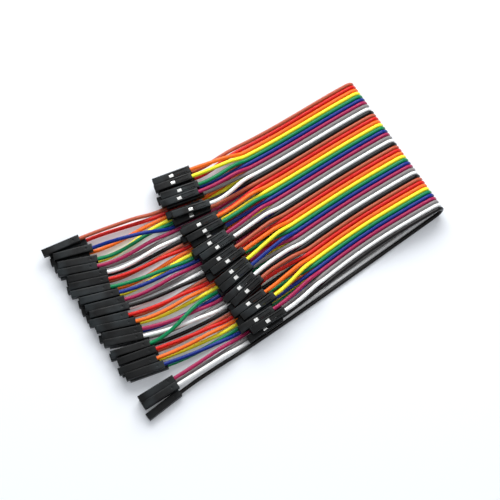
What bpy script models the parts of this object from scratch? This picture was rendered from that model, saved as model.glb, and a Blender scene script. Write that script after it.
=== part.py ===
"""A ribbon of forty breadboard jumper wires, socket to socket, folded once and laid down.

+X runs along the ribbon towards the fold, +Y across it from the last wire to the first, and +Z is up.
The origin is on the table, under the middle of the box that holds all the housings.
Forty insulated wires lie side by side, bonded into one ribbon in ten repeating colours. At both ends
they come apart, and each end sits in a single-way socket housing. A file holds at most sixty pieces,
so the eighty housings are joined into the twenty stacks in which they lie, and the wires stay single.
"""

import math

import bmesh
import bpy
from mathutils import Matrix, Vector

MM = 0.001

# Insulated wire, and the ribbon that it is bonded into
COLOURS = (
    ("brown", "#B8502E"),
    ("red", "#E0261A"),
    ("orange", "#F87022"),
    ("yellow", "#FFEC24"),
    ("green", "#008650"),
    ("blue", "#14308F"),
    ("purple", "#A82259"),
    ("grey", "#8C8988"),
    ("white", "#F2F2F1"),
    ("black", "#0A0808"),
)
WIRE_DIAMETER = 1.40 * MM
BOND_GAP = 0.05 * MM
PITCH = WIRE_DIAMETER + BOND_GAP
WIRE_COUNT = 40
WIRE_RADIUS = WIRE_DIAMETER / 2

# Socket housing: one way, 2.54 mm square, closed on four sides
HOUSING_LENGTH = 14.0 * MM
HOUSING_WALL = 0.32 * MM
WIRE_CLEARANCE = 0.25 * MM
CAVITY_WIDTH = WIRE_DIAMETER + 2 * WIRE_CLEARANCE
HOUSING_WIDTH = CAVITY_WIDTH + 2 * HOUSING_WALL
FRONT_WALL = 1.2 * MM
PIN_HOLE_WIDTH = 1.0 * MM
LATCH_WINDOW_LENGTH = 1.6 * MM
LATCH_WINDOW_WIDTH = 1.5 * MM
LATCH_WINDOW_SETBACK = 6.9 * MM
WIRE_INSERTION = 5.5 * MM

# How the housings lie: two levels, the upper one joined a little way into the lower one. They settle
# on waves of turn and roll, in degrees, and of stagger, with these steps in radians from wire to wire.
# Each row's waves start this many wires on
JOIN_DEPTH = 0.10 * MM
PAIR_GAP = 0.06 * MM
PAIR_PITCH = HOUSING_WIDTH + PAIR_GAP
LEVEL_RISE = HOUSING_WIDTH - JOIN_DEPTH
BANK_GAP = 0.24 * MM
SETTLE_TURN = 0.4
SETTLE_TURN_STEP = 2.4
SETTLE_STAGGER = 1.1 * MM
SETTLE_STAGGER_STEP = 1.7
SETTLE_ROLL = 2.0
SETTLE_ROLL_STEP = 1.3
UPPER_WAVE_START = 0.0
LOWER_WAVE_START = 2.8

# The fold and the two layers that run back from it
FOLD_RADIUS = 2.9 * MM
LAYER_SKEW = math.radians(2.93)
UPPER_RUN = 65.5 * MM
LOWER_RUN = 109.6 * MM
UPPER_SPLIT_RUN = 44.0 * MM
LOWER_SPLIT_RUN = UPPER_RUN + HOUSING_LENGTH + 1.6 * MM
SPREAD_RUN = 28.0 * MM
UPPER_SPREAD = (0.7 * MM, -2.2 * MM)
LOWER_SPREAD = (2.8 * MM, 0.4 * MM)
UPPER_CENTRE = 1.3 * MM
LOWER_CENTRE = 0.2 * MM
REST_GAP = 0.30 * MM
SAG_HEIGHT = 2 * WIRE_DIAMETER - WIRE_RADIUS + REST_GAP
EXIT_STRAIGHT = 0.6 * MM
RISE_SHARE = 0.38
FOLD_STEPS = 4
SAG_STEPS = 3
SPREAD_STEPS = 2
TAIL_STEPS = 3
CROSSING_STEPS = 5

# Each bank is one stack: the free room before it and how far its upper housings lie to +Y, in
# millimetres; the turns in degrees of its first and last lower housings and of its first and last
# upper ones; and the wires of its upper and its lower housings, from +Y to -Y
UPPER_BANKS = (
    (0.00, 0.3, (-12, -12), (-12, -12), (3, 4), (1, 2)),
    (0.60, 0.3, (-13, -12), (-13, -12), (5, 7), (6, 8)),
    (0.60, 0.0, (-11, -9), (-14, -14), (9,), (10, 11)),
    (0.60, 0.0, (-7, -2), (-6, -3), (13, 15), (12, 14, 16)),
    (0.60, 0.3, (0, 1), (1, 2), (17, 19), (18, 20)),
    (0.60, 0.3, (3, 4), (3, 4), (21, 23), (22, 25)),
    (0.60, 0.3, (6, 7), (7, 8), (24, 26), (27, 28)),
    (0.60, 0.3, (8, 9), (10, 11), (29, 31), (30, 32)),
    (0.60, 0.5, (4, 3), (4, 3), (33, 34), (35, 36)),
    (0.90, 1.0, (1, 2), (0, 0), (37, 39), (38, 40)),
)
LOWER_BANKS = (
    (0.00, 0.8, (-9, -18), (-9, -18), (1, 6), (2, 3)),
    (0.00, 0.2, (-22, -21), (-22, -21), (5, 7), (4, 8)),
    (0.05, 0.2, (-21, -20), (-21, -20), (9, 12), (10, 11)),
    (0.25, 0.3, (-20, -19), (-20, -19), (15, 16), (13, 14)),
    (0.05, 0.2, (-18, -18), (-18, -18), (17, 20), (18, 19)),
    (0.10, 0.2, (-19, -20), (-19, -20), (22, 23), (21, 24)),
    (0.05, 0.2, (-21, -21), (-21, -21), (27, 29), (26, 28)),
    (0.20, 0.2, (-15, -13), (-15, -13), (25, 32), (30, 31)),
    (0.40, 0.2, (-12, -13), (-12, -13), (33, 36), (34, 35)),
    (3.60, 0.9, (-1, 5), (-1, 0), (37, 39), (38, 40)),
)

# Housings that lie off the wave, in millimetres along towards the wire and across to +Y
UPPER_MOVES = {
    1: (0.6, 0.0),
    2: (1.5, 0.0),
    3: (2.4, 0.0),
    33: (-0.8, 0.0),
    37: (-2.2, 0.0),
    39: (1.4, 0.0),
}
LOWER_MOVES = {1: (-1.0, 0.0), 6: (0.6, 0.0), 37: (1.3, 0.0), 39: (-0.9, 0.0), 40: (0.0, -1.6)}

# Wires that pass over their neighbours near the lower housings, and how high they arch
CROSSING_LIFT = {6: 3.1 * MM, 25: 1.9 * MM}


def hex_colour(code):
    """Linear red, green, blue and alpha from an sRGB hex code."""
    channels = [int(code[i : i + 2], 16) / 255 for i in (1, 3, 5)]
    linear = [c / 12.92 if c <= 0.04045 else ((c + 0.055) / 1.055) ** 2.4 for c in channels]
    return (*linear, 1.0)


def plastic(name, code, roughness):
    material = bpy.data.materials.new(name)
    material.use_nodes = True
    shader = material.node_tree.nodes["Principled BSDF"]
    shader.inputs["Base Color"].default_value = hex_colour(code)
    shader.inputs["Roughness"].default_value = roughness
    shader.inputs["Metallic"].default_value = 0.0
    return material


def smooth(t):
    t = min(max(t, 0.0), 1.0)
    return t * t * (3 - 2 * t)


class Housing:
    """Where one socket housing lies: the middle of its wire end, its level, its turn and its roll."""

    def __init__(self, wire, rear, turn, roll):
        self.wire = wire
        self.rear = rear
        self.turn = turn
        self.roll = roll

    def out(self):
        """The direction in which the wire leaves it."""
        return Vector((math.cos(self.turn), math.sin(self.turn), 0))

    def matrix(self, window_up):
        """Puts the housing model, whose wire end is at its origin and runs to -X, in its place."""
        roll = self.roll if window_up else self.roll + math.pi
        return (
            Matrix.Translation(self.rear)
            @ Matrix.Rotation(self.turn, 4, "Z")
            @ Matrix.Rotation(roll, 4, "X")
        )


class Row:
    """The socket housings at one end of the ribbon, and how they lie."""

    def __init__(self, banks, moves, wave_start, run, centre, base_height):
        self.banks = banks
        self.moves = moves
        self.wave_start = wave_start
        self.run = run
        self.centre = centre
        self.base_height = base_height


def step_aside(before, degrees, width):
    """How far apart the wire ends of two neighbours lie, so that their front ends have room too."""
    turns = (math.radians(before), math.radians(degrees))
    closing = max(0.0, math.sin(turns[0]) - math.sin(turns[1])) * HOUSING_LENGTH
    return width / math.cos(max(turns, key=abs)) + closing


def level_places(turns, count):
    """Where the housings of one level lie from its first one, and the turn in degrees of each."""
    first, last = turns
    places = [(0.0, first)]
    for number in range(1, count):
        place, before = places[-1]
        degrees = first + (last - first) * number / (count - 1)
        places.append((place - step_aside(before, degrees, PAIR_PITCH), degrees))
    return places


def level_middle(places):
    """Where the middle of a level lies across the ribbon, half way along its housings."""
    half = HOUSING_LENGTH / 2
    return sum(place - half * math.sin(math.radians(degrees)) for place, degrees in places) / len(places)


def settle(wire, degrees, level, row, rear):
    """One housing in its place, turned, rolled and slid along by the waves of its row, then moved."""
    step = wire + row.wave_start
    turn = math.radians(degrees + SETTLE_TURN * math.sin(SETTLE_TURN_STEP * step))
    roll = math.radians(SETTLE_ROLL * level * math.sin(SETTLE_ROLL_STEP * step))
    housing = Housing(wire, rear, turn, roll)
    along, across = row.moves.get(wire, (0.0, 0.0))
    slide = SETTLE_STAGGER * math.sin(SETTLE_STAGGER_STEP * step) + along * MM
    housing.rear += housing.out() * slide + Vector((0, across * MM, 0))
    return housing


def lay_banks(row):
    """The housings of each bank of a row, those of the level below first."""
    start = 0.0
    before = None
    laid = []
    for room, shift, lower_turns, upper_turns, upper_wires, lower_wires in row.banks:
        if before is not None:
            start -= room * MM + step_aside(before, lower_turns[0], PAIR_PITCH + BANK_GAP)
        below = level_places(lower_turns, len(lower_wires))
        above = level_places(upper_turns, len(upper_wires))
        starts = (start, start + level_middle(below) - level_middle(above) + shift * MM)
        bank = []
        for level, (wires, places) in enumerate(((lower_wires, below), (upper_wires, above))):
            height = row.base_height + level * LEVEL_RISE
            for wire, (place, degrees) in zip(wires, places):
                rear = Vector((-row.run, row.centre + starts[level] + place, height))
                bank.append(settle(wire, degrees, level, row, rear))
        laid.append(bank)
        start += below[-1][0]
        before = lower_turns[1]
    for bank in laid:
        for housing in bank:
            housing.rear.y -= start / 2
    return laid


def lane(wire):
    """A wire's place across the ribbon at the middle of the fold."""
    return ((WIRE_COUNT + 1) / 2 - wire) * PITCH / math.cos(LAYER_SKEW)


def spread(wire, side):
    """How far a layer's wire has moved across by the place where it leaves the ribbon."""
    first, last = UPPER_SPREAD if side > 0 else LOWER_SPREAD
    return first + (last - first) * (wire - 1) / (WIRE_COUNT - 1)


def layer_point(wire, side, run, height):
    """A point of a flat layer, run back from the fold. Side is 1 on the upper layer, -1 below."""
    wrap = FOLD_RADIUS * math.pi / 2 * math.tan(LAYER_SKEW)
    split = UPPER_SPLIT_RUN if side > 0 else LOWER_SPLIT_RUN
    share = max(0.0, run - split + SPREAD_RUN) / SPREAD_RUN
    across = lane(wire) + side * (run * math.tan(LAYER_SKEW) + wrap) + spread(wire, side) * share**2
    return Vector((-run, across, height))


def split_heading(wire, side):
    """The direction in which a wire leaves the ribbon."""
    slope = side * math.tan(LAYER_SKEW) + 2 * spread(wire, side) / SPREAD_RUN
    return Vector((-1, slope)).normalized()


def tail_points(start, heading, housing, lift=0.0):
    """The stretch where a wire leaves the ribbon, turns and rises to its housing."""
    end = housing.rear + housing.out() * EXIT_STRAIGHT
    reach = (end.xy - start.xy).length
    into = -housing.out().xy
    steps = CROSSING_STEPS if lift else TAIL_STEPS
    points = []
    for step in range(1, steps):
        t = step / steps
        a = (1 - t) ** 2 * (1 + 2 * t)
        b = t * t * (3 - 2 * t)
        c = t * (1 - t) ** 2
        d = t * t * (t - 1)
        flat = start.xy * a + end.xy * b + (heading * c + into * d) * reach
        height = start.z + (end.z - start.z) * smooth(t / RISE_SHARE)
        height += lift * math.sin(math.pi * t)
        points.append(Vector((*flat, height)))
    inside = housing.rear - housing.out() * WIRE_INSERTION
    return points + [end, inside]


def wire_route(wire, lower_housing, upper_housing):
    """The wire's centreline, from inside its lower housing round the fold to its upper one."""
    top = WIRE_RADIUS + 2 * FOLD_RADIUS
    lower_split = layer_point(wire, -1, LOWER_SPLIT_RUN, WIRE_RADIUS)
    upper_split = layer_point(wire, 1, UPPER_SPLIT_RUN, SAG_HEIGHT)
    lift = CROSSING_LIFT.get(wire, 0.0)
    route = tail_points(lower_split, split_heading(wire, -1), lower_housing, lift)[::-1]
    route.append(lower_split)
    for step in range(1, SPREAD_STEPS + 1):
        run = LOWER_SPLIT_RUN - SPREAD_RUN * step / SPREAD_STEPS
        route.append(layer_point(wire, -1, run, WIRE_RADIUS))
    for step in range(FOLD_STEPS + 1):
        angle = math.pi * (step / FOLD_STEPS - 0.5)
        across = lane(wire) + angle * FOLD_RADIUS * math.tan(LAYER_SKEW)
        forward = FOLD_RADIUS * math.cos(angle)
        height = WIRE_RADIUS + FOLD_RADIUS * (1 + math.sin(angle))
        route.append(Vector((forward, across, height)))
    for step in range(1, SAG_STEPS):
        share = step / SAG_STEPS
        height = top + (SAG_HEIGHT - top) * smooth(share)
        route.append(layer_point(wire, 1, UPPER_SPLIT_RUN * share, height))
    route.append(upper_split)
    return route + tail_points(upper_split, split_heading(wire, 1), upper_housing)


def box_mesh(low, high):
    mesh = bmesh.new()
    size = Vector(high) - Vector(low)
    middle = (Vector(high) + Vector(low)) / 2
    bmesh.ops.create_cube(mesh, size=1, matrix=Matrix.Translation(middle) @ Matrix.Diagonal((*size, 1)))
    return mesh


def box_object(name, low, high, collection):
    data = bpy.data.meshes.new(name)
    mesh = box_mesh(low, high)
    mesh.to_mesh(data)
    mesh.free()
    obj = bpy.data.objects.new(name, data)
    collection.objects.link(obj)
    return obj


def as_helper(obj):
    obj.hide_render = True
    obj.display_type = "WIRE"


def cut(obj, cutter, operation="DIFFERENCE"):
    modifier = obj.modifiers.new(cutter.name, "BOOLEAN")
    modifier.operation = operation
    modifier.object = cutter
    modifier.solver = "EXACT"


def housing_model(cutters):
    """One housing, wire end at the origin, mating end towards -X, latch window up."""
    half = HOUSING_WIDTH / 2
    cavity = CAVITY_WIDTH / 2
    pin = PIN_HOLE_WIDTH / 2
    window = LATCH_WINDOW_WIDTH / 2
    spare = 1 * MM
    front = -HOUSING_LENGTH
    window_middle = front + LATCH_WINDOW_SETBACK
    model = box_object("housing_model", (front, -half, -half), (0, half, half), cutters)
    holes = (
        ("cavity_cutter", (front + FRONT_WALL, -cavity, -cavity), (spare, cavity, cavity)),
        ("pin_hole_cutter", (front - spare, -pin, -pin), (front + FRONT_WALL + spare, pin, pin)),
        (
            "latch_window_cutter",
            (window_middle - LATCH_WINDOW_LENGTH / 2, -window, 0),
            (window_middle + LATCH_WINDOW_LENGTH / 2, window, half + spare),
        ),
    )
    for name, low, high in holes:
        cutter = box_object(name, low, high, cutters)
        as_helper(cutter)
        cut(model, cutter)
    as_helper(model)
    bpy.context.view_layer.update()
    evaluated = model.evaluated_get(bpy.context.evaluated_depsgraph_get())
    return bpy.data.meshes.new_from_object(evaluated)


def housing_bank(name, bank, model, window_up, material, collection, cutters):
    """The housings of one stack joined into one solid."""
    joined = bpy.data.objects.new(name, model.copy())
    joined.data.materials.append(material)
    collection.objects.link(joined)
    first, *others = bank
    joined.matrix_world = first.matrix(window_up)
    for housing in others:
        helper = bpy.data.objects.new(f"{name}_wire_{housing.wire:02d}", model)
        cutters.objects.link(helper)
        helper.matrix_world = housing.matrix(window_up)
        as_helper(helper)
        cut(joined, helper, "UNION")
    return joined


def wire_object(name, route, material, collection):
    curve = bpy.data.curves.new(name, "CURVE")
    curve.dimensions = "3D"
    curve.bevel_depth = WIRE_RADIUS
    curve.bevel_resolution = 2
    curve.use_fill_caps = True
    curve.materials.append(material)
    spline = curve.splines.new("POLY")
    spline.points.add(len(route) - 1)
    for point, place in zip(spline.points, route):
        point.co = (*place, 1)
    spline.use_smooth = True
    obj = bpy.data.objects.new(name, curve)
    collection.objects.link(obj)
    return obj


def outline_middle(housings):
    """The middle, in X and Y, of the box that holds these housings."""
    corners = []
    for housing in housings:
        for along in (0, -HOUSING_LENGTH):
            for across in (-HOUSING_WIDTH / 2, HOUSING_WIDTH / 2):
                corners.append(housing.matrix(True) @ Vector((along, across, 0)))
    low = Vector((min(c.x for c in corners), min(c.y for c in corners), 0))
    high = Vector((max(c.x for c in corners), max(c.y for c in corners), 0))
    return (low + high) / 2


def main():
    for obj in list(bpy.data.objects):
        bpy.data.objects.remove(obj, do_unlink=True)
    ribbon = bpy.data.collections.new("jumper_wire_ribbon")
    cutters = bpy.data.collections.new("cutters")
    bpy.context.scene.collection.children.link(ribbon)
    bpy.context.scene.collection.children.link(cutters)

    on_table = HOUSING_WIDTH / 2
    on_ribbon = WIRE_DIAMETER + REST_GAP + on_table
    upper = lay_banks(Row(UPPER_BANKS, UPPER_MOVES, UPPER_WAVE_START, UPPER_RUN, UPPER_CENTRE, on_ribbon))
    lower = lay_banks(Row(LOWER_BANKS, LOWER_MOVES, LOWER_WAVE_START, LOWER_RUN, LOWER_CENTRE, on_table))
    housings = [housing for bank in upper + lower for housing in bank]
    origin = outline_middle(housings)
    routes = {}
    upper_by_wire = {housing.wire: housing for bank in upper for housing in bank}
    lower_by_wire = {housing.wire: housing for bank in lower for housing in bank}
    for wire in range(1, WIRE_COUNT + 1):
        route = wire_route(wire, lower_by_wire[wire], upper_by_wire[wire])
        routes[wire] = [point - origin for point in route]
    for housing in housings:
        housing.rear = housing.rear - origin

    model = housing_model(cutters)
    black = plastic("housing_nylon", "#0E1011", 0.45)
    for end, banks, window_up in (("upper", upper, True), ("lower", lower, False)):
        for number, bank in enumerate(banks, 1):
            name = f"{end}_housings_{number:02d}"
            housing_bank(name, bank, model, window_up, black, ribbon, cutters)
    finishes = [plastic(f"pvc_{name}", code, 0.4) for name, code in COLOURS]
    for wire, route in routes.items():
        colour = (wire - 1) % len(COLOURS)
        name = f"wire_{wire:02d}_{COLOURS[colour][0]}"
        wire_object(name, route, finishes[colour], ribbon)


main()
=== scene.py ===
"""The looks of a ribbon of forty breadboard jumper wires, folded once and laid on a white table.

Every wire, socket housing and crimped contact is a piece of its own. A wire replaces its solid, and
the housings of a stack replace the solid that they are joined into. Lengths are in metres.
"""

import math

import bmesh
import bpy
from mathutils import Matrix, Vector


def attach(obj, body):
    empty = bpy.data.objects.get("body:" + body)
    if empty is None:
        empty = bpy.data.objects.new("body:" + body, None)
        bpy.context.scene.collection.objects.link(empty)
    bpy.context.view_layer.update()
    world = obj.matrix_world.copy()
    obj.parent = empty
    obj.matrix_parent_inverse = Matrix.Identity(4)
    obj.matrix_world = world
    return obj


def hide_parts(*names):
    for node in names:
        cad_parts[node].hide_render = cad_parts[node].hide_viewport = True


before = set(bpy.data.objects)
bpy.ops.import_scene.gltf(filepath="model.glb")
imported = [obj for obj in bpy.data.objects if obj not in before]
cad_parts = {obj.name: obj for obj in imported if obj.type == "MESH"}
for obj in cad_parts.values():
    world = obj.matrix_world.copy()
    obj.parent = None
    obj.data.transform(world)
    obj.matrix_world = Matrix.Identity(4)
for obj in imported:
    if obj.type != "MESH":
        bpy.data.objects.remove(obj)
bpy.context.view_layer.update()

MM = 0.001

# Places this near each other count as one, and a face this near a plane lies in it. No piece
# reaches as far out as the last one
SAME_PLACE = 1e-7
IN_PLANE = 0.001 * MM
FAR = 1.0

# Insulated wire, and the ribbon that it is bonded into
COLOURS = ("brown", "red", "orange", "yellow", "green", "blue", "purple", "grey", "white", "black")
WIRE_DIAMETER = 1.40 * MM
BOND_GAP = 0.05 * MM
PITCH = WIRE_DIAMETER + BOND_GAP
WIRE_COUNT = 40
WIRE_RADIUS = WIRE_DIAMETER / 2
WIRE_ROUNDNESS = 5

# Socket housing. Its wire end is at the origin and its mating end lies towards -X
HOUSING_LENGTH = 14.0 * MM
HOUSING_WALL = 0.32 * MM
WIRE_CLEARANCE = 0.25 * MM
WIRE_INSERTION = 5.5 * MM
CAVITY_WIDTH = WIRE_DIAMETER + 2 * WIRE_CLEARANCE
HOUSING_WIDTH = CAVITY_WIDTH + 2 * HOUSING_WALL
HOUSING_FRONT = -HOUSING_LENGTH
FRONT_WALL = 1.2 * MM
CAVITY_END = HOUSING_FRONT + FRONT_WALL
PIN_HOLE_WIDTH = 1.0 * MM
LEAD_IN = 0.16 * MM
EDGE_ROUND = 0.10 * MM
EDGE_ROUND_STEPS = 2

# The window in which the contact latches, and the tongue behind it that two slots set free
LATCH_WINDOW_LENGTH = 1.6 * MM
LATCH_WINDOW_WIDTH = 1.5 * MM
LATCH_WINDOW_SETBACK = 6.9 * MM
LATCH_WINDOW_MIDDLE = HOUSING_FRONT + LATCH_WINDOW_SETBACK
LATCH_WINDOW_FRONT = LATCH_WINDOW_MIDDLE - LATCH_WINDOW_LENGTH / 2
LATCH_WINDOW_REAR = LATCH_WINDOW_MIDDLE + LATCH_WINDOW_LENGTH / 2
LATCH_SLOT_WIDTH = 0.20 * MM
LATCH_SLOT_END = -1.3 * MM
LATCH_LEAN = 0.12 * MM

# The round mark that the mould's ejector pin leaves on the plain side. Its reach is half the square
# that it is set in
EJECTOR_MARK_RADIUS = 0.50 * MM
EJECTOR_MARK_REACH = EJECTOR_MARK_RADIUS * 1.2
EJECTOR_MARK_DEPTH = 0.12 * MM
EJECTOR_MARK_CONE = 0.14 * MM
EJECTOR_MARK_PLACE = -2.4 * MM
EJECTOR_MARK_SIDES = 16

# How the housings lie: two levels, the upper one joined a little way into the lower one. They settle
# on waves of turn and roll, in degrees, and of stagger, with these steps in radians from wire to wire.
# Each row's waves start this many wires on
JOIN_DEPTH = 0.10 * MM
PAIR_GAP = 0.06 * MM
PAIR_PITCH = HOUSING_WIDTH + PAIR_GAP
LEVEL_RISE = HOUSING_WIDTH - JOIN_DEPTH
BANK_GAP = 0.24 * MM
SETTLE_TURN = 0.4
SETTLE_TURN_STEP = 2.4
SETTLE_STAGGER = 1.1 * MM
SETTLE_STAGGER_STEP = 1.7
SETTLE_ROLL = 2.0
SETTLE_ROLL_STEP = 1.3
UPPER_WAVE_START = 0.0
LOWER_WAVE_START = 2.8

# The fold and the two layers that run back from it
FOLD_RADIUS = 2.9 * MM
LAYER_SKEW = math.radians(2.93)
UPPER_RUN = 65.5 * MM
LOWER_RUN = 109.6 * MM
UPPER_SPLIT_RUN = 44.0 * MM
LOWER_SPLIT_RUN = UPPER_RUN + HOUSING_LENGTH + 1.6 * MM
SPREAD_RUN = 28.0 * MM
UPPER_SPREAD = (0.7 * MM, -2.2 * MM)
LOWER_SPREAD = (2.8 * MM, 0.4 * MM)
UPPER_CENTRE = 1.3 * MM
LOWER_CENTRE = 0.2 * MM
REST_GAP = 0.30 * MM
SAG_HEIGHT = 2 * WIRE_DIAMETER - WIRE_RADIUS + REST_GAP
EXIT_STRAIGHT = 0.6 * MM
RISE_SHARE = 0.38
FOLD_STEPS = 16
SAG_STEPS = 14
SPREAD_STEPS = 8
TAIL_STEPS = 14

# Each bank is one stack: the free room before it and how far its upper housings lie to +Y, in
# millimetres; the turns in degrees of its first and last lower housings and of its first and last
# upper ones; and the wires of its upper and its lower housings, from +Y to -Y
UPPER_BANKS = (
    (0.00, 0.3, (-12, -12), (-12, -12), (3, 4), (1, 2)),
    (0.60, 0.3, (-13, -12), (-13, -12), (5, 7), (6, 8)),
    (0.60, 0.0, (-11, -9), (-14, -14), (9,), (10, 11)),
    (0.60, 0.0, (-7, -2), (-6, -3), (13, 15), (12, 14, 16)),
    (0.60, 0.3, (0, 1), (1, 2), (17, 19), (18, 20)),
    (0.60, 0.3, (3, 4), (3, 4), (21, 23), (22, 25)),
    (0.60, 0.3, (6, 7), (7, 8), (24, 26), (27, 28)),
    (0.60, 0.3, (8, 9), (10, 11), (29, 31), (30, 32)),
    (0.60, 0.5, (4, 3), (4, 3), (33, 34), (35, 36)),
    (0.90, 1.0, (1, 2), (0, 0), (37, 39), (38, 40)),
)
LOWER_BANKS = (
    (0.00, 0.8, (-9, -18), (-9, -18), (1, 6), (2, 3)),
    (0.00, 0.2, (-22, -21), (-22, -21), (5, 7), (4, 8)),
    (0.05, 0.2, (-21, -20), (-21, -20), (9, 12), (10, 11)),
    (0.25, 0.3, (-20, -19), (-20, -19), (15, 16), (13, 14)),
    (0.05, 0.2, (-18, -18), (-18, -18), (17, 20), (18, 19)),
    (0.10, 0.2, (-19, -20), (-19, -20), (22, 23), (21, 24)),
    (0.05, 0.2, (-21, -21), (-21, -21), (27, 29), (26, 28)),
    (0.20, 0.2, (-15, -13), (-15, -13), (25, 32), (30, 31)),
    (0.40, 0.2, (-12, -13), (-12, -13), (33, 36), (34, 35)),
    (3.60, 0.9, (-1, 5), (-1, 0), (37, 39), (38, 40)),
)

# Housings that lie off the wave, in millimetres along towards the wire and across to +Y
UPPER_MOVES = {
    1: (0.6, 0.0),
    2: (1.5, 0.0),
    3: (2.4, 0.0),
    33: (-0.8, 0.0),
    37: (-2.2, 0.0),
    39: (1.4, 0.0),
}
LOWER_MOVES = {1: (-1.0, 0.0), 6: (0.6, 0.0), 37: (1.3, 0.0), 39: (-0.9, 0.0), 40: (0.0, -1.6)}

# Wires that pass over their neighbours near the lower housings, and how high they arch
CROSSING_LIFT = {6: 3.1 * MM, 25: 1.9 * MM}

# Crimped socket contact: a box that takes the pin, a neck, and wings closed round the insulation
BOX_WIDTH = 1.56 * MM
BOX_FRONT = -12.55 * MM
BOX_REAR = -6.15 * MM
BOX_MOUTH = 0.80 * MM
BOX_MOUTH_DEPTH = 3.0 * MM
BOX_ROUND = 0.14 * MM
BOX_ROUND_STEPS = 3
NECK_WIDTH = 0.95 * MM
NECK_HEIGHT = 0.45 * MM
NECK_REAR = -5.60 * MM
SHEET = 0.14 * MM
CRIMP_FRONT = -3.9 * MM
CRIMP_REAR = -1.7 * MM
CRIMP_OPENING = math.radians(26)
CRIMP_FIT = 0.01 * MM
CRIMP_STEPS = 20

# Edges that turn more than this look sharp, and the others smooth
SHARP_TURN = math.radians(35)

# How large the patterns in the surfaces are: the size of one patch, streak or grain. A real mould's
# grain is finer, and is drawn as coarse as it needs to show
PIGMENT_STREAK = (16.0 * MM, 1.1 * MM, 1.1 * MM)
HANDLING_PATCH = 4.0 * MM
EXTRUSION_RIPPLE = 0.7 * MM
FIBRE_FLOW = 1.9 * MM
WORN_PATCH = 7.5 * MM
MOULD_GRAIN = 0.19 * MM
PLATING_CLOUD = 0.6 * MM

# The camera looks down from over the lower left of the ribbon, as in the photo
CAMERA_AZIMUTH = math.radians(-33.15)
CAMERA_ELEVATION = math.radians(73.0)
CAMERA_DISTANCE = 560 * MM
CAMERA_LENS = 113.7
CAMERA_SENSOR = 36
CAMERA_NEAREST = 10 * MM
CAMERA_FARTHEST = 20
CAMERA_TARGET = Vector((-61.7 * MM, -2.8 * MM, 0))

# Directions over the table as the camera sees it
UP_IN_PHOTO = Vector((-math.sin(CAMERA_AZIMUTH), math.cos(CAMERA_AZIMUTH), 0))
RIGHT_IN_PHOTO = Vector((math.cos(CAMERA_AZIMUTH), math.sin(CAMERA_AZIMUTH), 0))
OVERHEAD = Vector((0, 0, 1))

# The table, how much brighter the camera sees it, the room round it and the two lamps
TABLE_SIZE = 3.0
TABLE_LIFT = 0.10
HORIZON_STRENGTH = 0.06
OVERHEAD_STRENGTH = 0.45
WINDOW_PLACE = UP_IN_PHOTO * 0.62 + OVERHEAD * 0.50
WINDOW_SIZE = (0.9, 0.5)
WINDOW_WATTS = 9.6
CEILING_PLACE = RIGHT_IN_PHOTO * 0.25 + OVERHEAD * 0.80
CEILING_SIZE = (1.2, 1.2)
CEILING_WATTS = 2.4


# Where everything lies, by the same rules as the solids

def smooth(t):
    """Eases a share from 0 to 1, level at both ends."""
    t = min(max(t, 0.0), 1.0)
    return t * t * (3 - 2 * t)


class Housing:
    """Where one socket housing lies: the middle of its wire end, its turn and its roll."""

    def __init__(self, wire, rear, turn, roll):
        self.wire = wire
        self.rear = rear
        self.turn = turn
        self.roll = roll

    def out(self):
        """The direction in which the wire leaves it."""
        return Vector((math.cos(self.turn), math.sin(self.turn), 0))

    def matrix(self, window_up):
        """Puts a piece modelled with the wire end at the origin, running to -X, in its place."""
        roll = self.roll if window_up else self.roll + math.pi
        return (
            Matrix.Translation(self.rear)
            @ Matrix.Rotation(self.turn, 4, "Z")
            @ Matrix.Rotation(roll, 4, "X")
        )


class Row:
    """The socket housings at one end of the ribbon, and how they lie."""

    def __init__(self, banks, moves, wave_start, run, centre, base_height):
        self.banks = banks
        self.moves = moves
        self.wave_start = wave_start
        self.run = run
        self.centre = centre
        self.base_height = base_height


def step_aside(before, degrees, width):
    """How far apart the wire ends of two neighbours lie, so that their front ends have room too."""
    turns = (math.radians(before), math.radians(degrees))
    closing = max(0.0, math.sin(turns[0]) - math.sin(turns[1])) * HOUSING_LENGTH
    return width / math.cos(max(turns, key=abs)) + closing


def level_places(turns, count):
    """Where the housings of one level lie from its first one, and the turn in degrees of each."""
    first, last = turns
    places = [(0.0, first)]
    for number in range(1, count):
        place, before = places[-1]
        degrees = first + (last - first) * number / (count - 1)
        places.append((place - step_aside(before, degrees, PAIR_PITCH), degrees))
    return places


def level_middle(places):
    """Where the middle of a level lies across the ribbon, half way along its housings."""
    half = HOUSING_LENGTH / 2
    return sum(place - half * math.sin(math.radians(degrees)) for place, degrees in places) / len(places)


def settle(wire, degrees, level, row, rear):
    """One housing in its place, turned, rolled and slid along by the waves of its row, then moved."""
    step = wire + row.wave_start
    turn = math.radians(degrees + SETTLE_TURN * math.sin(SETTLE_TURN_STEP * step))
    roll = math.radians(SETTLE_ROLL * level * math.sin(SETTLE_ROLL_STEP * step))
    housing = Housing(wire, rear, turn, roll)
    along, across = row.moves.get(wire, (0.0, 0.0))
    slide = SETTLE_STAGGER * math.sin(SETTLE_STAGGER_STEP * step) + along * MM
    housing.rear += housing.out() * slide + Vector((0, across * MM, 0))
    return housing


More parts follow.
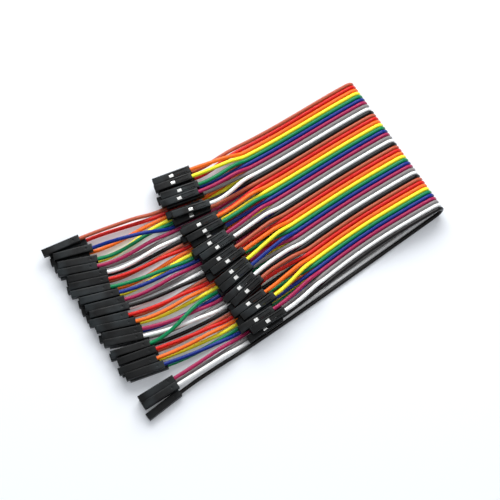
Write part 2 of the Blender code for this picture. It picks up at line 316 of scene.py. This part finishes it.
def lay_banks(row):
    """The housings of each bank of a row, those of the level below first."""
    start = 0.0
    before = None
    laid = []
    for room, shift, lower_turns, upper_turns, upper_wires, lower_wires in row.banks:
        if before is not None:
            start -= room * MM + step_aside(before, lower_turns[0], PAIR_PITCH + BANK_GAP)
        below = level_places(lower_turns, len(lower_wires))
        above = level_places(upper_turns, len(upper_wires))
        starts = (start, start + level_middle(below) - level_middle(above) + shift * MM)
        bank = []
        for level, (wires, places) in enumerate(((lower_wires, below), (upper_wires, above))):
            height = row.base_height + level * LEVEL_RISE
            for wire, (place, degrees) in zip(wires, places):
                rear = Vector((-row.run, row.centre + starts[level] + place, height))
                bank.append(settle(wire, degrees, level, row, rear))
        laid.append(bank)
        start += below[-1][0]
        before = lower_turns[1]
    for bank in laid:
        for housing in bank:
            housing.rear.y -= start / 2
    return laid


def outline_middle(housings):
    """The middle, in X and Y, of the box that holds these housings."""
    corners = []
    for housing in housings:
        for along in (0, -HOUSING_LENGTH):
            for across in (-HOUSING_WIDTH / 2, HOUSING_WIDTH / 2):
                corners.append(housing.matrix(True) @ Vector((along, across, 0)))
    low = Vector((min(c.x for c in corners), min(c.y for c in corners), 0))
    high = Vector((max(c.x for c in corners), max(c.y for c in corners), 0))
    return (low + high) / 2


def lane(wire):
    """A wire's place across the ribbon at the middle of the fold."""
    return ((WIRE_COUNT + 1) / 2 - wire) * PITCH / math.cos(LAYER_SKEW)


def spread(wire, side):
    """How far a layer's wire has moved across by the place where it leaves the ribbon."""
    first, last = UPPER_SPREAD if side > 0 else LOWER_SPREAD
    return first + (last - first) * (wire - 1) / (WIRE_COUNT - 1)


def layer_point(wire, side, run, height):
    """A point of a flat layer, run back from the fold. Side is 1 on the upper layer, -1 below."""
    wrap = FOLD_RADIUS * math.pi / 2 * math.tan(LAYER_SKEW)
    split = UPPER_SPLIT_RUN if side > 0 else LOWER_SPLIT_RUN
    share = max(0.0, run - split + SPREAD_RUN) / SPREAD_RUN
    across = lane(wire) + side * (run * math.tan(LAYER_SKEW) + wrap) + spread(wire, side) * share**2
    return Vector((-run, across, height))


def split_heading(wire, side):
    """The direction in which a wire leaves the ribbon."""
    slope = side * math.tan(LAYER_SKEW) + 2 * spread(wire, side) / SPREAD_RUN
    return Vector((-1, slope)).normalized()


def tail_points(start, heading, housing, lift=0.0):
    """The stretch where a wire leaves the ribbon, turns and rises to its housing."""
    end = housing.rear + housing.out() * EXIT_STRAIGHT
    reach = (end.xy - start.xy).length
    into = -housing.out().xy
    points = []
    for step in range(1, TAIL_STEPS):
        t = step / TAIL_STEPS
        from_start = (1 - t) ** 2 * (1 + 2 * t)
        from_end = t * t * (3 - 2 * t)
        leaving = t * (1 - t) ** 2
        arriving = t * t * (t - 1)
        flat = start.xy * from_start + end.xy * from_end
        flat += (heading * leaving + into * arriving) * reach
        height = start.z + (end.z - start.z) * smooth(t / RISE_SHARE)
        height += lift * math.sin(math.pi * t)
        points.append(Vector((*flat, height)))
    inside = housing.rear - housing.out() * WIRE_INSERTION
    return points + [end, housing.rear, inside]


def wire_route(wire, lower_housing, upper_housing):
    """The wire's centreline, from inside its lower housing round the fold to its upper one."""
    top = WIRE_RADIUS + 2 * FOLD_RADIUS
    lower_split = layer_point(wire, -1, LOWER_SPLIT_RUN, WIRE_RADIUS)
    upper_split = layer_point(wire, 1, UPPER_SPLIT_RUN, SAG_HEIGHT)
    lift = CROSSING_LIFT.get(wire, 0.0)
    route = tail_points(lower_split, split_heading(wire, -1), lower_housing, lift)[::-1]
    route.append(lower_split)
    for step in range(1, SPREAD_STEPS + 1):
        run = LOWER_SPLIT_RUN - SPREAD_RUN * step / SPREAD_STEPS
        route.append(layer_point(wire, -1, run, WIRE_RADIUS))
    for step in range(FOLD_STEPS + 1):
        angle = math.pi * (step / FOLD_STEPS - 0.5)
        across = lane(wire) + angle * FOLD_RADIUS * math.tan(LAYER_SKEW)
        forward = FOLD_RADIUS * math.cos(angle)
        height = WIRE_RADIUS + FOLD_RADIUS * (1 + math.sin(angle))
        route.append(Vector((forward, across, height)))
    for step in range(1, SAG_STEPS):
        share = step / SAG_STEPS
        height = top + (SAG_HEIGHT - top) * smooth(share)
        route.append(layer_point(wire, 1, UPPER_SPLIT_RUN * share, height))
    route.append(upper_split)
    return route + tail_points(upper_split, split_heading(wire, 1), upper_housing)


on_table = HOUSING_WIDTH / 2
on_ribbon = WIRE_DIAMETER + REST_GAP + on_table
upper = lay_banks(Row(UPPER_BANKS, UPPER_MOVES, UPPER_WAVE_START, UPPER_RUN, UPPER_CENTRE, on_ribbon))
lower = lay_banks(Row(LOWER_BANKS, LOWER_MOVES, LOWER_WAVE_START, LOWER_RUN, LOWER_CENTRE, on_table))
housings = [housing for bank in upper + lower for housing in bank]
origin = outline_middle(housings)
upper_by_wire = {housing.wire: housing for bank in upper for housing in bank}
lower_by_wire = {housing.wire: housing for bank in lower for housing in bank}
routes = {}
for wire in range(1, WIRE_COUNT + 1):
    route = wire_route(wire, lower_by_wire[wire], upper_by_wire[wire])
    routes[wire] = [point - origin for point in route]
for housing in housings:
    housing.rear = housing.rear - origin


# Camera

def photo_camera():
    """The camera, set back from its target along the way that it looks."""
    level = math.cos(CAMERA_ELEVATION)
    away = (math.sin(CAMERA_AZIMUTH) * level, -math.cos(CAMERA_AZIMUTH) * level)
    back = Vector((*away, math.sin(CAMERA_ELEVATION)))
    data = bpy.data.cameras.new("photo_camera")
    data.lens = CAMERA_LENS
    data.sensor_width = CAMERA_SENSOR
    data.clip_start = CAMERA_NEAREST
    data.clip_end = CAMERA_FARTHEST
    camera = bpy.data.objects.new("photo_camera", data)
    camera.location = CAMERA_TARGET - origin + back * CAMERA_DISTANCE
    camera.rotation_mode = "QUATERNION"
    camera.rotation_quaternion = (-back).to_track_quat("-Z", "Y")
    bpy.context.scene.collection.objects.link(camera)
    bpy.context.scene.camera = camera


photo_camera()


# Materials

def srgb(code, shade=1.0):
    """Linear red, green, blue and alpha from an sRGB hex code, made lighter or darker by shade."""
    channels = [int(code[i : i + 2], 16) / 255 for i in (1, 3, 5)]
    linear = [c / 12.92 if c <= 0.04045 else ((c + 0.055) / 1.055) ** 2.4 for c in channels]
    return (*(min(c * shade, 1.0) for c in linear), 1.0)


def add_node(tree, kind, settings, links=None):
    """Adds a node, sets its properties and inputs, and links outputs to its inputs."""
    node = tree.nodes.new(kind)
    for name, value in settings.items():
        if isinstance(name, str) and hasattr(node, name):
            setattr(node, name, value)
        else:
            node.inputs[name].default_value = value
    for name, output in (links or {}).items():
        tree.links.new(output, node.inputs[name])
    return node


def new_material(name):
    """An empty material, and its node tree."""
    material = bpy.data.materials.new(name)
    material.use_nodes = True
    material.node_tree.nodes.clear()
    return material, material.node_tree


def extruded_pvc(colour, code, depth):
    """Soft PVC drawn over the strands: glossy, with a faint ripple from the extruder.

    The pigment mixes a little unevenly along the wire, and handling dulls the gloss in patches.
    """
    material, tree = new_material(f"extruded_pvc_{colour}")
    coordinates = add_node(tree, "ShaderNodeTexCoord", {})
    place = coordinates.outputs["Object"]
    streaks = add_node(
        tree,
        "ShaderNodeMapping",
        {"Scale": tuple(1 / size for size in PIGMENT_STREAK)},
        {"Vector": place},
    )
    pigment = add_node(
        tree,
        "ShaderNodeTexNoise",
        {"Scale": 1.0, "Detail": 3.0, "Roughness": 0.55},
        {"Vector": streaks.outputs["Vector"]},
    )
    shade = add_node(
        tree,
        "ShaderNodeMix",
        {"data_type": "RGBA", 6: srgb(code, 1 - depth), 7: srgb(code, 1 + depth)},
        {0: pigment.outputs["Fac"]},
    )
    handling = add_node(
        tree,
        "ShaderNodeTexNoise",
        {"Scale": 1 / HANDLING_PATCH, "Detail": 4.0, "Roughness": 0.6},
        {"Vector": place},
    )
    dullness = add_node(
        tree,
        "ShaderNodeMapRange",
        {"From Min": 0.3, "From Max": 0.7, "To Min": 0.24, "To Max": 0.36},
        {"Value": handling.outputs["Fac"]},
    )
    ripple = add_node(
        tree,
        "ShaderNodeTexNoise",
        {"Scale": 1 / EXTRUSION_RIPPLE, "Detail": 2.0},
        {"Vector": place},
    )
    surface = add_node(
        tree,
        "ShaderNodeBump",
        {"Strength": 0.10, "Distance": 0.05 * MM},
        {"Height": ripple.outputs["Fac"]},
    )
    shader = add_node(
        tree,
        "ShaderNodeBsdfPrincipled",
        {"IOR": 1.53, "Specular IOR Level": 0.22, "Metallic": 0.0},
        {
            "Base Color": shade.outputs[2],
            "Roughness": dullness.outputs["Result"],
            "Normal": surface.outputs["Normal"],
        },
    )
    add_node(tree, "ShaderNodeOutputMaterial", {}, {"Surface": shader.outputs["BSDF"]})
    return material


def moulded_nylon():
    """Black glass-filled nylon from a fine-grained mould: satin, greyer where the fibres flow."""
    material, tree = new_material("moulded_nylon_black")
    coordinates = add_node(tree, "ShaderNodeTexCoord", {})
    place = coordinates.outputs["Object"]
    flow = add_node(
        tree,
        "ShaderNodeTexNoise",
        {"Scale": 1 / FIBRE_FLOW, "Detail": 5.0, "Roughness": 0.6},
        {"Vector": place},
    )
    wear = add_node(
        tree,
        "ShaderNodeTexNoise",
        {"Scale": 1 / WORN_PATCH, "Detail": 2.0, "Roughness": 0.4},
        {"Vector": place},
    )
    handled = add_node(
        tree,
        "ShaderNodeMapRange",
        {"From Min": 0.47, "From Max": 0.66},
        {"Value": wear.outputs["Fac"]},
    )
    fresh = add_node(
        tree,
        "ShaderNodeMix",
        {"data_type": "RGBA", 6: srgb("#020303"), 7: srgb("#090A0B")},
        {0: flow.outputs["Fac"]},
    )
    shade = add_node(
        tree,
        "ShaderNodeMix",
        {"data_type": "RGBA", 7: srgb("#1F2426")},
        {0: handled.outputs["Result"], 6: fresh.outputs[2]},
    )
    dullness = add_node(
        tree,
        "ShaderNodeMapRange",
        {"From Min": 0.3, "From Max": 0.7, "To Min": 0.34, "To Max": 0.50},
        {"Value": flow.outputs["Fac"]},
    )
    grain = add_node(
        tree,
        "ShaderNodeTexNoise",
        {"Scale": 1 / MOULD_GRAIN, "Detail": 3.0},
        {"Vector": place},
    )
    surface = add_node(
        tree,
        "ShaderNodeBump",
        {"Strength": 0.22, "Distance": 0.03 * MM},
        {"Height": grain.outputs["Fac"]},
    )
    shader = add_node(
        tree,
        "ShaderNodeBsdfPrincipled",
        {"IOR": 1.53, "Specular IOR Level": 0.20, "Metallic": 0.0},
        {
            "Base Color": shade.outputs[2],
            "Roughness": dullness.outputs["Result"],
            "Normal": surface.outputs["Normal"],
        },
    )
    add_node(tree, "ShaderNodeOutputMaterial", {}, {"Surface": shader.outputs["BSDF"]})
    return material


def tinned_bronze():
    """Phosphor bronze strip, tin-plated and stamped: bright and softly clouded."""
    material, tree = new_material("tin_plated_bronze")
    coordinates = add_node(tree, "ShaderNodeTexCoord", {})
    place = coordinates.outputs["Object"]
    cloud = add_node(
        tree,
        "ShaderNodeTexNoise",
        {"Scale": 1 / PLATING_CLOUD, "Detail": 3.0},
        {"Vector": place},
    )
    shade = add_node(
        tree,
        "ShaderNodeMix",
        {"data_type": "RGBA", 6: srgb("#D9D8D4"), 7: srgb("#F4F4F1")},
        {0: cloud.outputs["Fac"]},
    )
    dullness = add_node(
        tree,
        "ShaderNodeMapRange",
        {"To Min": 0.16, "To Max": 0.34},
        {"Value": cloud.outputs["Fac"]},
    )
    shader = add_node(
        tree,
        "ShaderNodeBsdfPrincipled",
        {"Metallic": 1.0},
        {"Base Color": shade.outputs[2], "Roughness": dullness.outputs["Result"]},
    )
    add_node(tree, "ShaderNodeOutputMaterial", {}, {"Surface": shader.outputs["BSDF"]})
    return material


# Each colour of PVC, and how far its pigment varies
PVC_COLOURS = {
    "brown": ("#B0543A", 0.08),
    "red": ("#CC1810", 0.05),
    "orange": ("#F06C1C", 0.04),
    "yellow": ("#FAEE30", 0.03),
    "green": ("#007E4C", 0.06),
    "blue": ("#0C2A80", 0.06),
    "purple": ("#9E1E50", 0.06),
    "grey": ("#827F7E", 0.05),
    "white": ("#F2F2F1", 0.02),
    "black": ("#0A0606", 0.10),
}
pvc = {colour: extruded_pvc(colour, *PVC_COLOURS[colour]) for colour in COLOURS}
nylon = moulded_nylon()
tin = tinned_bronze()


# Wires

def insulated_wire(wire):
    """One wire as a cord along its route, in place of its solid."""
    colour = COLOURS[(wire - 1) % len(COLOURS)]
    route = routes[wire]
    node = f"wire_{wire:02d}_{colour}"
    curve = bpy.data.curves.new(f"{node}_insulation", "CURVE")
    curve.dimensions = "3D"
    curve.bevel_depth = WIRE_RADIUS
    curve.bevel_resolution = WIRE_ROUNDNESS
    curve.use_fill_caps = True
    curve.materials.append(pvc[colour])
    spline = curve.splines.new("POLY")
    spline.points.add(len(route) - 1)
    for point, place in zip(spline.points, route):
        point.co = (*place, 1)
    spline.use_smooth = True
    piece = bpy.data.objects.new(f"{node}_insulation", curve)
    bpy.context.scene.collection.objects.link(piece)
    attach(piece, "root")
    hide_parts(node)


for wire in range(1, WIRE_COUNT + 1):
    insulated_wire(wire)


# Tools for the moulded and the stamped pieces. An axis is given by its place in a point

X, Y, Z = range(3)


def each_once(items):
    """The items in their order, without repeats."""
    return list(dict.fromkeys(items))


def points_among(parts):
    """The vertices in what an operator has made."""
    return [part for part in parts if isinstance(part, bmesh.types.BMVert)]


def same(value, other):
    """Whether two measures are the same, but for rounding."""
    return abs(value - other) < SAME_PLACE


def block(mesh, low, high):
    """A closed box between two corners."""
    size = Vector(high) - Vector(low)
    middle = (Vector(high) + Vector(low)) / 2
    place = Matrix.Translation(middle) @ Matrix.Diagonal((*size, 1))
    bmesh.ops.create_cube(mesh, size=1, matrix=place)


def faces_at(mesh, axis, value, low=(-FAR, -FAR, -FAR), high=(FAR, FAR, FAR)):
    """The faces that lie in one plane across an axis, with their middles inside a box."""
    found = []
    for face in mesh.faces:
        middle = face.calc_center_median()
        flat = all(abs(v.co[axis] - value) < IN_PLANE for v in face.verts)
        if flat and all(low[i] < middle[i] < high[i] for i in (X, Y, Z)):
            found.append(face)
    return found


def slice_at(mesh, axis, value, faces=None):
    """Cuts faces, or the whole mesh, where a plane across an axis crosses them. Both sides stay."""
    normal = Vector((0, 0, 0))
    normal[axis] = 1
    if faces is None:
        cut = mesh.verts[:] + mesh.edges[:] + mesh.faces[:]
    else:
        cut = each_once(part for face in faces for part in (face, *face.edges, *face.verts))
    bmesh.ops.bisect_plane(mesh, geom=cut, dist=SAME_PLACE, plane_co=normal * value, plane_no=normal)


def sink(mesh, face, rim, depth):
    """Sinks a hollow into an end face along X, with a rim left round it."""
    bmesh.ops.inset_region(mesh, faces=face, thickness=rim, use_even_offset=True)
    grown = bmesh.ops.extrude_face_region(mesh, geom=face)["geom"]
    bmesh.ops.translate(mesh, verts=points_among(grown), vec=(depth, 0, 0))
    bmesh.ops.delete(mesh, geom=face, context="FACES_ONLY")


def open_between(mesh, first, second):
    """Takes out two facing patches of faces and joins their rims with walls."""
    bmesh.ops.delete(mesh, geom=first + second, context="FACES")
    rims = [edge for edge in mesh.edges if edge.is_boundary]
    bmesh.ops.bridge_loops(mesh, edges=rims)


def round_over(mesh, edges, offset, steps):
    """Rounds edges in a few steps, or cuts them off flat in a single one."""
    bmesh.ops.bevel(
        mesh, geom=edges, offset=offset, segments=steps, profile=0.5, affect="EDGES", material=-1
    )


# Socket housing

def pierce_front(mesh):
    """Opens the square pin hole through the front wall."""
    inside = faces_at(mesh, X, CAVITY_END)
    rim = (CAVITY_WIDTH - PIN_HOLE_WIDTH) / 2
    bmesh.ops.inset_region(mesh, faces=inside, thickness=rim, use_even_offset=True)
    outside = faces_at(mesh, X, HOUSING_FRONT)
    rim = (HOUSING_WIDTH - PIN_HOLE_WIDTH) / 2
    bmesh.ops.inset_region(mesh, faces=outside, thickness=rim, use_even_offset=True)
    open_between(mesh, inside, outside)


def open_latch_window(mesh):
    """Opens the latch window and the slots beside its tongue, and leans the tongue on the contact."""
    top = HOUSING_WIDTH / 2
    side = LATCH_WINDOW_WIDTH / 2
    tongue = side - LATCH_SLOT_WIDTH
    for along in (LATCH_WINDOW_FRONT, LATCH_WINDOW_REAR, LATCH_SLOT_END):
        slice_at(mesh, X, along)
    for across in (-side, -tongue, tongue, side):
        slice_at(mesh, Y, across)
    openings = (
        ((LATCH_WINDOW_FRONT, -side, 0), (LATCH_WINDOW_REAR, side, FAR)),
        ((LATCH_WINDOW_REAR, -side, 0), (LATCH_SLOT_END, -tongue, FAR)),
        ((LATCH_WINDOW_REAR, tongue, 0), (LATCH_SLOT_END, side, FAR)),
    )
    outside = [face for box in openings for face in faces_at(mesh, Z, top, *box)]
    inside = [face for box in openings for face in faces_at(mesh, Z, CAVITY_WIDTH / 2, *box)]
    open_between(mesh, outside, inside)
    tip = []
    for point in mesh.verts:
        on_top = same(point.co.x, LATCH_WINDOW_REAR) and same(point.co.z, top)
        if on_top and abs(point.co.y) < tongue + SAME_PLACE:
            tip.append(point)
    bmesh.ops.translate(mesh, verts=tip, vec=(0, 0, -LATCH_LEAN))


def sink_ejector_mark(mesh):
    """Sinks the shallow round mark with its small cone into the plain side."""
    place = Vector((EJECTOR_MARK_PLACE, 0, -HOUSING_WIDTH / 2))
    for axis in (X, Y):
        for side in (-EJECTOR_MARK_REACH, EJECTOR_MARK_REACH):
            slice_at(mesh, axis, place[axis] + side, faces_at(mesh, Z, place.z))
    reach = Vector((EJECTOR_MARK_REACH, EJECTOR_MARK_REACH, FAR))
    patch = faces_at(mesh, Z, place.z, place - reach, place + reach)
    bmesh.ops.delete(mesh, geom=patch, context="FACES")
    circle = bmesh.ops.create_circle(
        mesh,
        segments=EJECTOR_MARK_SIDES,
        radius=EJECTOR_MARK_RADIUS,
        matrix=Matrix.Translation(place),
    )["verts"]
    rim = each_once(edge for point in circle for edge in point.link_edges)
    square = [edge for edge in mesh.edges if edge.is_boundary]
    bmesh.ops.bridge_loops(mesh, edges=rim + square)
    wall = bmesh.ops.extrude_edge_only(mesh, edges=rim)["geom"]
    bmesh.ops.translate(mesh, verts=points_among(wall), vec=(0, 0, EJECTOR_MARK_DEPTH))
    loop = [part for part in wall if isinstance(part, bmesh.types.BMEdge) and part.is_boundary]
    floor = bmesh.ops.edgeloop_fill(mesh, edges=loop)["faces"]
    tip = bmesh.ops.poke(mesh, faces=floor)["verts"]
    bmesh.ops.translate(mesh, verts=tip, vec=(0, 0, EJECTOR_MARK_CONE))


def on_pin_hole(point):
    """Whether a point lies on the pin hole's outer rim."""
    reach = max(abs(point.y), abs(point.z))
    return same(point.x, HOUSING_FRONT) and reach < PIN_HOLE_WIDTH / 2 + SAME_PLACE


def sides_met(point):
    """Whether a point lies on an end, on a flank, and on the top or the bottom."""
    half = HOUSING_WIDTH / 2
    ends = same(point.x, 0) or same(point.x, HOUSING_FRONT)
    return (ends, same(abs(point.y), half), same(abs(point.z), half))


def is_outer_edge(edge):
    """Whether two of the housing's outer sides meet along an edge."""
    first, second = (sides_met(point.co) for point in edge.verts)
    return sum(a and b for a, b in zip(first, second)) >= 2


def housing_shell():
    """One housing, wire end at the origin, mating end towards -X, latch window up."""
    half = HOUSING_WIDTH / 2
    mesh = bmesh.new()
    block(mesh, (HOUSING_FRONT, -half, -half), (0, half, half))
    sink(mesh, faces_at(mesh, X, 0), HOUSING_WALL, CAVITY_END)
    pierce_front(mesh)
    open_latch_window(mesh)
    sink_ejector_mark(mesh)
    lead_in = [edge for edge in mesh.edges if all(on_pin_hole(point.co) for point in edge.verts)]
    round_over(mesh, lead_in, LEAD_IN, 1)
    round_over(mesh, [edge for edge in mesh.edges if is_outer_edge(edge)], EDGE_ROUND, EDGE_ROUND_STEPS)
    return mesh


# Crimped socket contact

def close_wings(mesh):
    """Spins the wings round the wire, open at the top."""
    inner = WIRE_RADIUS + CRIMP_FIT
    length = CRIMP_REAR - CRIMP_FRONT
    place = Matrix.Translation((CRIMP_FRONT + length / 2, 0, inner + SHEET / 2))
    tilt = Matrix.Rotation(CRIMP_OPENING / 2, 4, "X")
    flat = Matrix.Rotation(math.pi / 2, 4, "X") @ Matrix.Diagonal((length, SHEET, 1, 1))
    section = bmesh.ops.create_grid(
        mesh, x_segments=1, y_segments=1, size=0.5, matrix=tilt @ place @ flat
    )["verts"]
    edges = each_once(edge for point in section for edge in point.link_edges)
    faces = each_once(face for point in section for face in point.link_faces)
    bmesh.ops.spin(
        mesh,
        geom=section + edges + faces,
        cent=(0, 0, 0),
        axis=(1, 0, 0),
        angle=2 * math.pi - CRIMP_OPENING,
        steps=CRIMP_STEPS,
        use_duplicate=False,
    )


def crimped_contact():
    """One stamped contact in the housing's place: pin box, neck, and wings round the insulation."""
    half = BOX_WIDTH / 2
    neck = NECK_WIDTH / 2
    mesh = bmesh.new()
    block(mesh, (BOX_FRONT, -half, -half), (BOX_REAR, half, half))
    folds = [edge for edge in mesh.edges if not same(edge.verts[0].co.x, edge.verts[1].co.x)]
    round_over(mesh, folds, BOX_ROUND, BOX_ROUND_STEPS)
    sink(mesh, faces_at(mesh, X, BOX_FRONT), half - BOX_MOUTH / 2, BOX_MOUTH_DEPTH)
    block(mesh, (BOX_REAR - SHEET, -neck, -half), (NECK_REAR, neck, NECK_HEIGHT - half))
    close_wings(mesh)
    return mesh


def place_pieces(model, stem, material, slot=None):
    """Sets a copy of the model in the place of every housing, each a piece of its own."""
    data = bpy.data.meshes.new(stem)
    model.to_mesh(data)
    model.free()
    data.materials.append(material)
    for end, banks, window_up in (("upper", upper, True), ("lower", lower, False)):
        for number, bank in enumerate(banks, 1):
            for housing in bank:
                name = f"{end}_{stem}_{housing.wire:02d}"
                mesh = data.copy()
                mesh.transform(housing.matrix(window_up))
                mesh.shade_smooth()
                mesh.set_sharp_from_angle(angle=SHARP_TURN)
                piece = bpy.data.objects.new(name, mesh)
                bpy.context.scene.collection.objects.link(piece)
                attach(piece, "root")
                if slot:
                    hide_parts(f"{end}_housings_{number:02d}")


place_pieces(housing_shell(), "housing", nylon, "housing_nylon")
place_pieces(crimped_contact(), "contact", tin)


# Table and light

def white_table():
    """A matt white board under the ribbon. The camera sees it a little brighter than it lights."""
    material, tree = new_material("white_board")
    matt = add_node(tree, "ShaderNodeBsdfDiffuse", {"Color": srgb("#F4F7FB"), "Roughness": 0.5})
    path = add_node(tree, "ShaderNodeLightPath", {})
    glow = add_node(tree, "ShaderNodeEmission", {"Color": srgb("#FFFFFF"), "Strength": 1.0})
    share = add_node(
        tree,
        "ShaderNodeMath",
        {"operation": "MULTIPLY", 1: TABLE_LIFT},
        {0: path.outputs["Is Camera Ray"]},
    )
    lift = add_node(
        tree,
        "ShaderNodeMixShader",
        {},
        {0: share.outputs["Value"], 1: matt.outputs["BSDF"], 2: glow.outputs["Emission"]},
    )
    add_node(tree, "ShaderNodeOutputMaterial", {}, {"Surface": lift.outputs["Shader"]})
    mesh = bmesh.new()
    bmesh.ops.create_grid(mesh, x_segments=1, y_segments=1, size=TABLE_SIZE / 2)
    data = bpy.data.meshes.new("table")
    mesh.to_mesh(data)
    mesh.free()
    data.materials.append(material)
    table = bpy.data.objects.new("table", data)
    bpy.context.scene.collection.objects.link(table)


def soft_box(name, place, size, watts):
    """A lamp with a broad face, turned to the middle of the table."""
    data = bpy.data.lights.new(name, "AREA")
    data.shape = "RECTANGLE"
    data.size, data.size_y = size
    data.energy = watts
    lamp = bpy.data.objects.new(name, data)
    lamp.location = place
    lamp.rotation_mode = "QUATERNION"
    lamp.rotation_quaternion = (-place).to_track_quat("-Z", "Y")
    bpy.context.scene.collection.objects.link(lamp)


def white_room():
    """A white surround, bright overhead and dim at the horizon, which the gloss and the tin reflect."""
    world = bpy.data.worlds.new("white_room")
    world.use_nodes = True
    tree = world.node_tree
    direction = add_node(tree, "ShaderNodeTexCoord", {})
    axes = add_node(tree, "ShaderNodeSeparateXYZ", {}, {"Vector": direction.outputs["Generated"]})
    strength = add_node(
        tree,
        "ShaderNodeMapRange",
        {"To Min": HORIZON_STRENGTH, "To Max": OVERHEAD_STRENGTH},
        {"Value": axes.outputs["Z"]},
    )
    background = tree.nodes["Background"]
    background.inputs["Color"].default_value = srgb("#F3F8FF")
    tree.links.new(strength.outputs["Result"], background.inputs["Strength"])
    bpy.context.scene.world = world


white_table()
white_room()
soft_box("window_light", WINDOW_PLACE, WINDOW_SIZE, WINDOW_WATTS)
soft_box("ceiling_light", CEILING_PLACE, CEILING_SIZE, CEILING_WATTS)

bpy.context.scene.view_settings.view_transform = "Standard"
